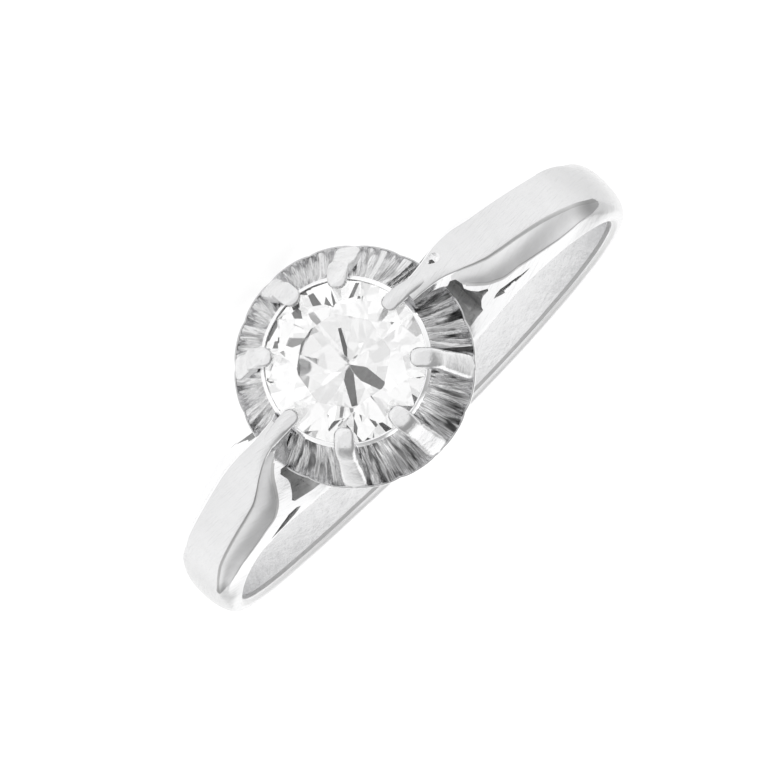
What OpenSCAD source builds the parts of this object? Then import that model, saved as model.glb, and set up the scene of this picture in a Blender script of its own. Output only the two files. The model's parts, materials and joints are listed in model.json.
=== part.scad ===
// Solitaire ring in white gold: a round brilliant in eight claws, on a round
// fluted plate that carries the claws, with a hollow cup below the plate and
// leaf-shaped shoulders that rise from a plain band. The ring lies on its side.

/* [Finger hoop] */
// Inner diameter of the band
finger_d = 16.8; // [15:0.1:20]
// Thickness of the band at its crest
band_t = 0.84; // [0.8:0.02:1.2]
// Width between the inner edges at the sides of the finger
band_w = 2.36; // [2:0.02:2.8]

/* [Head] */
// Height of the plate's rim above the centre of the finger
rim_z = 10.2; // [10:0.1:11.5]
// Diameter of the plate at its rim
rim_d = 7.5; // [7:0.1:8]
// Height from the rim up to the underside of the stone's girdle
plate_h = 2.2; // [1.8:0.1:2.6]
// Thickness of the plate's edge
rim_t = 0.18; // [0.12:0.02:0.3]
// Depth of the cut flutes
flute_depth = 0.09; // [0.04:0.01:0.14]
// Depth of the notches between the rim's lobes
lobe_depth = 0.05; // [0.02:0.01:0.15]
// Outer diameter of the cup where it stands on the band
cup_base_d = 4.1; // [3.6:0.1:4.4]
// Diameter of the open back under the stone
open_back_d = 2.2; // [1.6:0.1:2.6]

/* [Claws] */
// Width of a claw at the rim
claw_foot_w = 0.8; // [0.6:0.02:1]
// Width of a claw over the stone
claw_tip_w = 0.64; // [0.5:0.02:0.8]
// Thickness of a claw
claw_t = 0.46; // [0.4:0.02:0.5]

/* [Stone] */
// Diameter of the stone
stone_d = 5; // [4.8:0.05:5.1]
// Table width as a share of the diameter
table_share = 0.57; // [0.52:0.01:0.62]
// Angle of the crown's main facets
crown_deg = 34.5; // [32:0.5:36]
// Angle of the pavilion's main facets
pavilion_deg = 40.8; // [39:0.2:42]
// Thickness of the girdle
girdle_t = 0.12; // [0.06:0.02:0.16]

/* [Hidden] */

white_gold = [0.86, 0.86, 0.87];
diamond = [0.93, 0.96, 1];

bore_r = finger_d / 2;
hoop_r = bore_r + band_t;
rim_r = rim_d / 2;
stone_r = stone_d / 2;
girdle_z = rim_z + plate_h;
claws = 8;

// Shoulder sections, measured around the finger from the head axis.
// Columns: angle, crest height over the bore, half width of the leaf, foot
// height of the side scoop over the bore, half width at that foot, dome of
// the leaf, hollow of the scoop, which is negative where it bulges out, and
// width between the inner edges as a share of band_w.
NECK = 13;
sections = [
    [NECK, 4.86, 0.26, 4.30, 0.32, 0.05, 0.01, 1.64],
    [17, 4.52, 0.30, 3.85, 0.37, 0.05, 0.02, 1.61],
    [21, 3.98, 0.47, 3.15, 0.58, 0.05, 0.05, 1.56],
    [27, 3.13, 0.69, 1.97, 1.06, 0.05, 0.10, 1.45],
    [33, 2.62, 0.72, 1.46, 1.26, 0.06, 0.11, 1.34],
    [44, 1.90, 0.73, 1.06, 1.26, 0.06, 0.10, 1.21],
    [55, 1.33, 0.76, 0.82, 1.18, 0.07, 0.07, 1.13],
    [66, 1.00, 0.82, 0.67, 1.08, 0.10, 0.02, 1.10],
    [80, band_t, 0.82, 0.54, 1.04, 0.12, -0.04, 1.07],
    [110, band_t, 0.70, 0.48, 1.00, 0.12, -0.06, 1.00],
    [180, band_t, 0.54, 0.46, 0.86, 0.12, -0.06, 0.81]
];
rail = [0, band_t + 0.08, 1.30, 0.72, 1.56, 0.03, 0, 1.68];
turns = 38;
crowding = 1.25;
blank_depth = 0.25;
edge_round = 0.14;

// The slit under each shoulder and the open triangle beside the cup:
// angle from the head axis, and height over the bore.
slit = [[39, 0.99], [33, 0.93], [27.6, 0.88], [27.2, 1.42], [29.5, 1.38], [34, 1.14]];
triangle = [[24.8, 1.10], [23, 0.93], [19, 0.93], [14, 0.93], [10, 0.93],
            [10, 3.95], [14, 3.75], [17, 3.20], [19.4, 3.05], [21.5, 2.42], [24.6, 1.72]];

flutes = 96;
seat_r = stone_r - 0.14;
plate_top_r = stone_r + 0.1;
cup_wall = 0.35;

// Claw path. Columns: distance from the head axis, height over the rim, and
// the share of the full width and of the full thickness there.
claw_path = [
    [rim_r - 0.25, -0.12, 1.00, 0.90],
    [rim_r - 0.42, 0.55, 0.97, 1.00],
    [rim_r - 0.71, 1.45, 0.92, 1.00],
    [stone_r + 0.34, plate_h - 0.05, 0.87, 1.00],
    [stone_r + 0.20, plate_h + 0.42, 0.86, 0.98],
    [stone_r - 0.06, plate_h + 0.68, 0.84, 0.90],
    [stone_r - 0.30, plate_h + 0.72, 0.79, 0.74],
    [stone_r - 0.43, plate_h + 0.70, 0.57, 0.44]
];
claw_sides = 8;

// Length of a cutter that passes right through.
through = 10;

// Angles at which the band has a section.
band_angles = [for (i = [0:turns]) NECK + (180 - NECK) * pow(i / turns, crowding)];

// The ring lies on two lobes of its rim and on the back half of its band,
// which touches the floor where the lean comes out least.
function rim_at(a) = rim_r - lobe_depth * pow(1 - abs(sin(claws * a)), 2);
lobe_r = max([for (i = [0:flutes / claws]) rim_at(180 / flutes * i) * cos(180 / flutes * i)]);
lobe_z = rim_z - rim_t;
lie_deg = min([
    for (a = band_angles)
        if (a > 90)
            for (p = half_section(a))
                atan((lobe_r - p[1]) / (lobe_z - p[0] * cos(a)))
]);
floor_z = lobe_r * cos(lie_deg) - lobe_z * sin(lie_deg);
claw_top = girdle_z + 0.9;
front_y = claw_top * cos(lie_deg) + (stone_r - 0.1) * sin(lie_deg);
back_y = hoop_r * cos(lie_deg);

// Catmull-Rom interpolation of one column of a table whose rows start with
// their angle.
function row_at(t, a, i = 0) = i >= len(t) - 2 || a < t[i + 1][0] ? i : row_at(t, a, i + 1);
function spline(p, q, r, s, u) =
    0.5 * (2 * q + (r - p) * u + (2 * p - 5 * q + 4 * r - s) * u * u + (3 * q - p - 3 * r + s) * u * u * u);
function column(t, a, c) =
    let (
        i = row_at(t, a),
        last = len(t) - 1,
        u = (a - t[i][0]) / (t[i + 1][0] - t[i][0])
    )
    spline(t[max(i - 1, 0)][c], t[i][c], t[i + 1][c], t[min(i + 2, last)][c], u);

// Half of a section: distance from the finger axis, and half width.
function half_section(a) =
    let (
        row = abs(a) < NECK ? rail : [for (c = [0:7]) column(sections, abs(a), c)],
        crest = bore_r + row[1],
        leaf = row[2],
        foot = bore_r + row[3],
        foot_half = row[4],
        edge = [crest - row[5], leaf],
        knee = [(edge[0] + foot) / 2 - row[6], (leaf + foot_half) / 2 - row[6]],
        inner = row[7] * band_w / 2
    )
    [
        [crest, 0],
        [crest - row[5] * 0.25, leaf * 0.5],
        edge,
        [(edge[0] + 2 * knee[0] + foot) / 4 + 0.25 * (edge[0] - foot), (3 * leaf + knee[1]) / 4],
        knee,
        [(knee[0] + foot) / 2 - row[6] * 0.3, (knee[1] + foot_half) / 2 - row[6] * 0.3],
        [foot, foot_half],
        [bore_r + edge_round, inner],
        [bore_r - blank_depth, inner - edge_round],
        [bore_r - blank_depth, 0]
    ];
function section(a) =
    let (h = half_section(a), n = len(h))
    [for (p = h) [p[0] * sin(a), -p[1], p[0] * cos(a)],
     for (i = [n - 2:-1:1]) [h[i][0] * sin(a), h[i][1], h[i][0] * cos(a)]];

// Quads between n loops of m points each, closed all round or capped.
function walls(n, m, closed) =
    [for (i = [0:n - (closed ? 1 : 2)], j = [0:m - 1])
        let (k = (i + 1) % n, l = (j + 1) % m)
        each [[i * m + j, k * m + j, k * m + l], [i * m + j, k * m + l, i * m + l]]];

module band_and_shoulders() {
    pad = NECK - 2;
    under_head = [for (a = [-pad:pad / 2:pad]) a];
    angles = concat(under_head, band_angles, [for (i = [turns - 1:-1:0]) 360 - band_angles[i]]);
    loops = [for (a = angles) section(a > 180 ? a - 360 : a)];
    polyhedron(
        points = [for (l = loops) each l],
        faces = walls(len(loops), len(loops[0]), true),
        convexity = 6
    );
}

// A window through the shoulder, from corners in angle and height.
module window(corners, side) {
    rotate([90, 0, 0])
        linear_extrude(height = through, center = true)
            polygon([for (c = corners) [side * (bore_r + c[1]) * sin(c[0]), (bore_r + c[1]) * cos(c[0])]]);
}

module shank() {
    difference() {
        band_and_shoulders();
        for (side = [-1, 1]) {
            window(slit, side);
            window(triangle, side);
        }
    }
}

// Fluted plate: a cone whose upper face is cut in ridges, with a lobed rim.
module plate() {
    steps = 2 * flutes;
    run = rim_r - plate_top_r;
    slope = atan(plate_h / run);
    loops = [
        for (i = [0:steps - 1])
            let (
                a = 360 * i / steps,
                cut = flute_depth * (i % 2),
                r = rim_at(a),
                profile = [
                    [seat_r, girdle_z - 0.5],
                    [seat_r, girdle_z - 0.2],
                    [plate_top_r, girdle_z - 0.1],
                    [plate_top_r + run * 0.4 - cut * sin(slope), rim_z + plate_h * 0.56 - cut * cos(slope)],
                    [r, rim_z - cut * 0.6],
                    [r, rim_z - rim_t],
                    [rim_r - 0.5, rim_z - rim_t * 0.6]
                ]
            )
            [for (p = profile) [p[0] * cos(a), p[0] * sin(a), p[1]]]
    ];
    polyhedron(
        points = [for (l = loops) each l],
        faces = walls(len(loops), len(loops[0]), true),
        convexity = 6
    );
}

// Hollow cup that flares from the band out to the plate's rim.
function flare(u, shift) =
    [cup_base_d / 2 - shift + (rim_r - 0.15 - cup_base_d / 2) * (1 - cos(90 * u)),
     hoop_r - 0.35 + (rim_z - rim_t * 0.6 - hoop_r + 0.35) * sin(90 * u) + shift * u * 0.5];
module cup() {
    steps = 8;
    rotate_extrude($fn = 96)
        polygon(concat(
            [[cup_base_d / 2, bore_r - blank_depth]],
            [for (i = [0:steps]) flare(i / steps, 0)],
            [for (i = [steps:-1:0]) flare(i / steps, cup_wall)],
            [[cup_base_d / 2 - cup_wall, bore_r - blank_depth]]
        ));
}

// Claw that rises from the rim, stands beside the girdle and folds over the
// stone. Each section is an octagon across the path.
module claw() {
    n = len(claw_path);
    loops = [
        for (i = [0:n - 1])
            let (
                p = claw_path[i],
                q = claw_path[max(i - 1, 0)],
                s = claw_path[min(i + 1, n - 1)],
                lean = atan2(s[1] - q[1], s[0] - q[0]),
                w = (claw_foot_w + (claw_tip_w - claw_foot_w) * i / (n - 1)) / 2 * p[2],
                t = claw_t / 2 * p[3]
            )
            [for (k = [claw_sides - 1:-1:0])
                let (
                    turn = 360 / claw_sides * (k + 0.5),
                    flat = cos(180 / claw_sides),
                    across = w * cos(turn) / flat,
                    out = t * sin(turn) / flat
                )
                [p[0] + out * sin(lean), across, rim_z + p[1] - out * cos(lean)]]
    ];
    foot = [for (k = [0:claw_sides - 1]) k];
    tip = [for (k = [claw_sides - 1:-1:0]) (n - 1) * claw_sides + k];
    polyhedron(
        points = [for (l = loops) each l],
        faces = concat(walls(n, claw_sides, false), [foot, tip]),
        convexity = 4
    );
}

// Round brilliant with its girdle's underside at z = 0.
module brilliant() {
    table_r = stone_r * table_share;
    crown_h = (stone_r - table_r) * tan(crown_deg);
    star_r = table_r + (stone_r - table_r) * 0.52;
    star_z = girdle_t + crown_h - (star_r * cos(22.5) - table_r) * tan(crown_deg);
    half_r = stone_r * 0.24;
    half_z = -(stone_r - half_r * cos(22.5)) * tan(pavilion_deg);
    culet_z = -stone_r * tan(pavilion_deg);
    points = concat(
        [for (k = [0:7]) [table_r * cos(45 * k), table_r * sin(45 * k), girdle_t + crown_h]],
        [for (k = [0:7]) [star_r * cos(45 * k + 22.5), star_r * sin(45 * k + 22.5), star_z]],
        [for (k = [0:15]) [stone_r * cos(22.5 * k), stone_r * sin(22.5 * k), girdle_t]],
        [for (k = [0:15]) [stone_r * cos(22.5 * k), stone_r * sin(22.5 * k), 0]],
        [for (k = [0:7]) [half_r * cos(45 * k + 22.5), half_r * sin(45 * k + 22.5), half_z]],
        [[0, 0, culet_z]]
    );
    star = 8;
    top = 16;
    bottom = 32;
    half = 48;
    culet = 56;
    faces = concat(
        [[for (k = [7:-1:0]) k]],
        [for (k = [0:7])
            let (n = (k + 1) % 8, g = 2 * k, g1 = 2 * k + 1, g2 = (2 * k + 2) % 16, before = (k + 7) % 8)
            each [
                [k, n, star + k],
                [k, star + k, top + g, star + before],
                [star + k, top + g1, top + g],
                [star + k, top + g2, top + g1],
                [top + g, top + g1, bottom + g1, bottom + g],
                [top + g1, top + g2, bottom + g2, bottom + g1],
                [half + k, bottom + g, bottom + g1],
                [half + k, bottom + g1, bottom + g2],
                [culet, half + before, bottom + g, half + k]
            ]]
    );
    polyhedron(points = points, faces = faces, convexity = 2);
}

// Turns the ring from head-up onto its side, on the floor at z = 0.
module lying() {
    translate([0, (front_y - back_y) / 2, floor_z])
        rotate([90 - lie_deg, 0, 0])
            children();
}

module ring_mount() {
    color(white_gold)
        lying()
            difference() {
                union() {
                    shank();
                    cup();
                    plate();
                    for (k = [0:claws - 1])
                        rotate([0, 0, 360 / claws * k])
                            claw();
                }
                rotate([90, 0, 0])
                    cylinder(r = bore_r, h = through, center = true, $fn = 180);
                cylinder(d = open_back_d, h = hoop_r + 0.6, $fn = 64);
            }
}

module stone() {
    color(diamond)
        lying()
            translate([0, 0, girdle_z])
                brilliant();
}

ring_mount();
stone();
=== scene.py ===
"""Looks of the solitaire ring: smooth white gold, cut flutes, claws and a round brilliant."""
import itertools
import json
import math
import random

import bpy
import numpy as np
from mathutils import Matrix

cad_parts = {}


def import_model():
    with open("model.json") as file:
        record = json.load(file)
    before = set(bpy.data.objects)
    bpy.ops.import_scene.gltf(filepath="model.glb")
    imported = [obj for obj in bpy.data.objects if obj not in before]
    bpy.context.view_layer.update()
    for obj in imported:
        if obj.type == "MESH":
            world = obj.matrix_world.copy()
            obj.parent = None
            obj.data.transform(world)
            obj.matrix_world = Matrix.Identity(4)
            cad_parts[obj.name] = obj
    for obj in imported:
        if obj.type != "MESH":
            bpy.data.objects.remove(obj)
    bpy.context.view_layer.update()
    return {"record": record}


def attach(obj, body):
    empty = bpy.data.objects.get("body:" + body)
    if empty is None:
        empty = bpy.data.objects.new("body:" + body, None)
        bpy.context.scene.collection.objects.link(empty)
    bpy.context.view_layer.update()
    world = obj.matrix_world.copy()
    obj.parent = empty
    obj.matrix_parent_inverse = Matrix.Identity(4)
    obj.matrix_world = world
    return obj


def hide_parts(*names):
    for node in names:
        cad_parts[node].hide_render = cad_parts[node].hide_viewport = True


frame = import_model()

# The ring's own frame, and the sizes that it shares with the solids.
# x' runs along the band, y' is the finger axis and z' the head's axis, all in mm.
HOLE = frame["record"]["mounts"][0]
CENTRE = np.array(HOLE["pos_m"])
FINGER_AXIS = np.array(HOLE["axis"])
HEAD_AXIS = np.array([0.0, -FINGER_AXIS[2], FINGER_AXIS[1]])
MM = 0.001
BORE_R = HOLE["dims"]["r_mm"]
# Thickness of the band under the head.
RAIL_T = 0.92
# Plate: height and radius of its rim, thickness of the rim, and height up to the girdle.
RIM_Z = 10.2
RIM_R = 3.75
RIM_T = 0.18
PLATE_H = 2.2
STONE_R = 2.5
GIRDLE_Z = RIM_Z + PLATE_H
CLAWS = 8
# Turn of the leaves against the band, in radians.
TWIST = 0.026
# The band sits this far to one side of the head, below these heights.
OFFSET, OFFSET_HEIGHTS = 0.22, (7.0, 1.5)


def world(p):
    """Points in the ring's frame, in mm, as points in the row's frame, in metres."""
    p = np.asarray(p, float)
    return CENTRE + MM * (p[:, :1] * [1, 0, 0] + p[:, 1:2] * FINGER_AXIS + p[:, 2:3] * HEAD_AXIS)


def hermite(table, a):
    """Smooth interpolation of a table whose first column is the position."""
    t = np.asarray(table, float)
    x, y = t[:, 0], t[:, 1:]
    h = np.diff(x)[:, None]
    d = np.diff(y, axis=0) / h
    m = np.empty_like(y)
    m[0], m[-1] = d[0], d[-1]
    m[1:-1] = (d[:-1] * h[1:] + d[1:] * h[:-1]) / (h[:-1] + h[1:])
    a = np.clip(np.atleast_1d(np.asarray(a, float)), x[0], x[-1])
    i = np.clip(np.searchsorted(x, a, side="right") - 1, 0, len(x) - 2)
    w = h[i]
    u = (a - x[i])[:, None] / w
    return (
        (2 * u**3 - 3 * u**2 + 1) * y[i]
        + (u**3 - 2 * u**2 + u) * w * m[i]
        + (3 * u**2 - 2 * u**3) * y[i + 1]
        + (u**3 - u**2) * w * m[i + 1]
    )


def mesh_piece(name, points, faces, materials, indices=None, smooth=True, sharp_deg=None):
    """A piece from points in the ring's frame."""
    data = bpy.data.meshes.new(name)
    data.from_pydata(world(points).tolist(), [], [tuple(int(v) for v in f) for f in faces])
    data.update()
    for m in materials:
        data.materials.append(m)
    if indices is not None:
        data.polygons.foreach_set("material_index", np.asarray(indices, np.int32))
    if smooth:
        data.shade_smooth()
    else:
        data.shade_flat()
    if sharp_deg is not None:
        data.set_sharp_from_angle(angle=math.radians(sharp_deg))
    o = bpy.data.objects.new(name, data)
    bpy.context.scene.collection.objects.link(o)
    return o


def loop_faces(n, m, closed_n, closed_m):
    """Quads between n loops of m points, and the place of each quad along its loop."""
    rows = np.arange(n if closed_n else n - 1)
    columns = np.arange(m if closed_m else m - 1)
    i, j = (grid.ravel() for grid in np.meshgrid(rows, columns, indexing="ij"))
    after_i, after_j = (i + 1) % n, (j + 1) % m
    return np.stack([i * m + j, after_i * m + j, after_i * m + after_j, i * m + after_j], -1), j


# Materials.
def material(name, colour, metallic=1.0, roughness=0.15, **more):
    """A material with its node tree and its surface node."""
    m = bpy.data.materials.new(name)
    m.use_nodes = True
    b = m.node_tree.nodes["Principled BSDF"]
    b.inputs["Base Color"].default_value = (*colour, 1)
    b.inputs["Metallic"].default_value = metallic
    b.inputs["Roughness"].default_value = roughness
    for key, value in more.items():
        b.inputs[key.replace("_", " ")].default_value = value
    return m, m.node_tree, b


def ring_coordinates(tree):
    """Position in the ring's frame, in mm: x along the band, y the finger axis, z the head's."""
    where = tree.nodes.new("ShaderNodeTexCoord")
    turn = tree.nodes.new("ShaderNodeMapping")
    tilt = math.atan2(-FINGER_AXIS[2], FINGER_AXIS[1])
    c, s = math.cos(tilt), math.sin(tilt)
    turn.inputs["Scale"].default_value = (1 / MM, 1 / MM, 1 / MM)
    turn.inputs["Rotation"].default_value = (tilt, 0, 0)
    y, z = CENTRE[1] / MM, CENTRE[2] / MM
    turn.inputs["Location"].default_value = (-CENTRE[0] / MM, -(c * y - s * z), -(s * y + c * z))
    tree.links.new(where.outputs["Object"], turn.inputs["Vector"])
    return turn.outputs["Vector"]


def stretched(tree, vector, scale, turn=(0, 0, 0), shift=(0, 0, 0)):
    """A vector turned and then stretched, for strokes that run one way."""
    first = tree.nodes.new("ShaderNodeMapping")
    first.inputs["Rotation"].default_value = turn
    tree.links.new(vector, first.inputs["Vector"])
    second = tree.nodes.new("ShaderNodeMapping")
    second.inputs["Scale"].default_value = scale
    second.inputs["Location"].default_value = shift
    tree.links.new(first.outputs[0], second.inputs["Vector"])
    return second.outputs[0]


def noise(tree, vector, scale=1.0, detail=3.0, rough=0.55, distortion=0.0):
    """Procedural noise, from 0 to 1."""
    n = tree.nodes.new("ShaderNodeTexNoise")
    n.inputs["Scale"].default_value = scale
    n.inputs["Detail"].default_value = detail
    n.inputs["Roughness"].default_value = rough
    n.inputs["Distortion"].default_value = distortion
    tree.links.new(vector, n.inputs["Vector"])
    return n.outputs["Fac"]


def ramp(tree, value, low, high, a, b):
    """Maps low..high smoothly to a..b and holds the ends."""
    m = tree.nodes.new("ShaderNodeMapRange")
    m.interpolation_type = "SMOOTHSTEP"
    for key, v in (("From Min", low), ("From Max", high), ("To Min", a), ("To Max", b)):
        m.inputs[key].default_value = v
    tree.links.new(value, m.inputs["Value"])
    return m.outputs[0]


def combine(tree, kind, a, b=None):
    """A math node whose inputs are sockets or numbers."""
    m = tree.nodes.new("ShaderNodeMath")
    m.operation = kind
    for i, v in enumerate((a, b)):
        if isinstance(v, (int, float)):
            m.inputs[i].default_value = v
        elif v is not None:
            tree.links.new(v, m.inputs[i])
    return m.outputs[0]


def tint(tree, shader, colour, factor):
    """Base colour times a factor that varies over the surface."""
    mix = tree.nodes.new("ShaderNodeVectorMath")
    mix.operation = "SCALE"
    mix.inputs[0].default_value = colour
    tree.links.new(factor, mix.inputs["Scale"])
    tree.links.new(mix.outputs[0], shader.inputs["Base Color"])


def bump(tree, shader, height, depth_mm):
    """Relief of a given depth in the surface's shading."""
    b = tree.nodes.new("ShaderNodeBump")
    b.inputs["Strength"].default_value = 1.0
    b.inputs["Distance"].default_value = depth_mm * MM
    tree.links.new(height, b.inputs["Height"])
    tree.links.new(b.outputs[0], shader.inputs["Normal"])


# Angles from the head axis between which a tone changes, and the tones at both ends: the
# scoops start darker at the neck and end darker, as painted shade, and the leaves end darker.
SCOOP_START_SHADE = (math.radians(24), math.radians(35), 0.84, 1.0)
SCOOP_END_SHADE = (math.radians(57), math.radians(66), 1.0, 0.45)
LEAF_END = (math.radians(50), math.radians(74), 1.0, 0.80)
# Painted light and shade on the scoops: their tone on the right and on the left shoulder, along x' in mm.
SCOOP_SIDE_LIGHT_AND_SHADE = (-0.5, 0.5, 1.04, 0.87)
# Slant of the scratches on the leaves, in radians, and how much finer they are across.
STROKE_SLANT, STROKE_SCALE = (0, 0, 0.26), (1.0, 30, 1.0)
CROSSING_SLANT, CROSSING_SCALE = (0.2, -0.5, 0.4), (30, 1.5, 30)
SCRATCH_DEPTH = 0.05


def polished_metal(name, colour, roughness, scratch, mottle, relief):
    """White gold with fine slanting scratches, faint clouding and a soft hammered relief."""
    m, t, b = material(name, colour, roughness=roughness)
    at = ring_coordinates(t)
    sides = t.nodes.new("ShaderNodeSeparateXYZ")
    t.links.new(at, sides.inputs[0])
    mirrored = t.nodes.new("ShaderNodeCombineXYZ")
    t.links.new(combine(t, "ABSOLUTE", sides.outputs["X"]), mirrored.inputs["X"])
    t.links.new(sides.outputs["Y"], mirrored.inputs["Y"])
    t.links.new(sides.outputs["Z"], mirrored.inputs["Z"])
    strokes = noise(t, stretched(t, mirrored.outputs[0], STROKE_SCALE, STROKE_SLANT), 1.0, 4.0, 0.75)
    crossing = noise(t, stretched(t, at, CROSSING_SCALE, CROSSING_SLANT, (3, 7, 1)), 1.0, 3.0, 0.6)
    clouds = noise(t, at, 1.6, 4.0, 0.6)
    specks = ramp(t, noise(t, at, 9.0, 2.0, 0.6), 0.62, 0.78, 0.0, 1.0)
    long_lines = ramp(t, strokes, 0.52, 0.70, 0.0, 1.0)
    short_lines = ramp(t, crossing, 0.60, 0.76, 0.0, 0.6)
    wear = combine(t, "MULTIPLY", combine(t, "ADD", long_lines, short_lines), scratch)
    spots = combine(t, "MULTIPLY", specks, mottle)
    haze = ramp(t, clouds, 0.3, 0.7, 1.0 + mottle * 0.3, 1.0 - mottle * 0.3)
    level = combine(t, "MULTIPLY", haze, combine(t, "SUBTRACT", 1.0, combine(t, "ADD", wear, spots)))
    swing = combine(t, "ARCTAN2", combine(t, "ABSOLUTE", sides.outputs["X"]), sides.outputs["Z"])
    # Painted shade on the scoops and their creases: darker at the neck, at the far end and on the left
    # shoulder, a little lighter on the right.
    if name.endswith(("scoops", "creases")):
        level = combine(t, "MULTIPLY", level, ramp(t, swing, *SCOOP_END_SHADE))
        level = combine(t, "MULTIPLY", level, ramp(t, sides.outputs["X"], *SCOOP_SIDE_LIGHT_AND_SHADE))
        level = combine(t, "MULTIPLY", level, ramp(t, swing, *SCOOP_START_SHADE))
    if name.endswith("polished"):
        level = combine(t, "MULTIPLY", level, ramp(t, swing, *LEAF_END))
    tint(t, b, colour, level)
    t.links.new(combine(t, "ADD", roughness, wear), b.inputs["Roughness"])
    waves = combine(t, "MULTIPLY", clouds, relief)
    bump(t, b, combine(t, "ADD", waves, combine(t, "MULTIPLY", strokes, scratch)), SCRATCH_DEPTH)
    return m


def fluted_metal(name, colour, roughness):
    """Bright-cut strokes that run out from the stone, with dark grooves between them as painted shade and
    dark reflections, less dark on the far side as painted light.
    """
    m, t, b = material(name, colour, roughness=roughness)
    parts = t.nodes.new("ShaderNodeSeparateXYZ")
    t.links.new(ring_coordinates(t), parts.inputs[0])
    x, y = parts.outputs["X"], parts.outputs["Y"]
    turn = combine(t, "ARCTAN2", y, x)
    squares = combine(t, "ADD", combine(t, "MULTIPLY", x, x), combine(t, "MULTIPLY", y, y))
    out = combine(t, "SQRT", squares)
    pair = t.nodes.new("ShaderNodeCombineXYZ")
    t.links.new(turn, pair.inputs["X"])
    t.links.new(out, pair.inputs["Y"])
    around = pair.outputs[0]
    broad = noise(t, stretched(t, around, (17, 0.9, 1)), 1.0, 2.0, 0.5, 0.3)
    fine = noise(t, stretched(t, around, (75, 1.4, 1), shift=(5, 3, 0)), 1.0, 3.0, 0.6, 0.4)
    patches = noise(t, stretched(t, around, (5, 1.3, 1), shift=(2, 9, 0)), 1.0, 2.0, 0.5)
    # Painted light and shade: the grooves and thin lines are darkened, and less so on the far side.
    far_side_painted_light = ramp(t, y, -1.5, 1.0, 0.50, 1.0)
    grooves = ramp(t, broad, 0.48, 0.60, 0.0, 0.86)
    dark = combine(t, "MULTIPLY", grooves, ramp(t, patches, 0.36, 0.58, 0.15, 1.0))
    dark = combine(t, "MULTIPLY", dark, far_side_painted_light)
    thin = combine(t, "MULTIPLY", ramp(t, fine, 0.50, 0.68, 0.0, 0.55), far_side_painted_light)
    level = combine(t, "MULTIPLY", combine(t, "SUBTRACT", 1.0, dark), combine(t, "SUBTRACT", 1.0, thin))
    tint(t, b, colour, combine(t, "MAXIMUM", level, 0.05))
    bump(t, b, combine(t, "ADD", fine, combine(t, "MULTIPLY", broad, 1.5)), 0.03)
    return m


# Name, colour, roughness, strength of the scratches, of the mottling and of the relief.
polished = polished_metal("white_gold_polished", (0.73, 0.73, 0.735), 0.13, 0.10, 0.05, 0.28)
bore_metal = polished_metal("white_gold_worn_bore", (0.79, 0.79, 0.795), 0.22, 0.03, 0.09, 0.35)
claw_metal = polished_metal("white_gold_claws", (0.79, 0.79, 0.795), 0.20, 0.06, 0.22, 0.9)
# Darker copy of the white gold for the walls of the windows and the hole: painted shade.
shaded_wall_metal = polished_metal("white_gold_pierced_walls", (0.45, 0.45, 0.45), 0.35, 0.25, 0.70, 0.8)
satin = polished_metal("white_gold_satin_scoops", (0.80, 0.80, 0.805), 0.40, 0.05, 0.05, 0.3)
# Lighter copy of the white gold: painted light on the far flanks, the far side of the necks, the far window
# walls, the lip round the stone and the cup.
bright = polished_metal("white_gold_mirror", (0.95, 0.95, 0.955), 0.10, 0.03, 0.03, 0.2)
# Darker copy for the creases along the leaf's edge and the scoop's foot: painted shade.
crease = polished_metal("white_gold_creases", (0.55, 0.55, 0.55), 0.32, 0.05, 0.05, 0.3)
# Darker copy for a line along the bore's near edge: painted shade.
shade_line_metal = polished_metal("white_gold_inner_edge", (0.46, 0.46, 0.46), 0.35, 0.05, 0.20, 0.5)
# Pale copy for a strip beside that line: painted highlight.
highlight_strip_metal = polished_metal("white_gold_outer_edge", (0.97, 0.97, 0.97), 0.6, 0.03, 0.04, 0.3)
flute_metal = fluted_metal("white_gold_bright_cut", (0.80, 0.80, 0.805), 0.12)


def clear_stone(name, index):
    """Clear diamond with very faint clouds."""
    m, t, b = material(name, (1, 1, 1), metallic=0, roughness=0.0, IOR=index, Transmission_Weight=1.0)
    tint(t, b, (1, 1, 1), ramp(t, noise(t, ring_coordinates(t), 2.5, 3.0, 0.6), 0.3, 0.7, 0.985, 1.0))
    return m


def dark_residue():
    """Painted shade: a dull dark film, mottled, behind some of the stone's facets, which shows them as dark
    kites.
    """
    m, t, b = material("dark_residue", (0.02, 0.02, 0.02), metallic=0, roughness=0.8)
    tint(t, b, (1, 1, 1), ramp(t, noise(t, ring_coordinates(t), 6.0, 4.0, 0.6), 0.35, 0.65, 0.004, 0.05))
    return m


# Name and index of refraction: against air, and where the painted shade film touches the stone.
diamond = clear_stone("diamond", 2.42)
kite_shade_diamond = clear_stone("diamond_over_residue", 1.36)
kite_shade_film = dark_residue()

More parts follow.
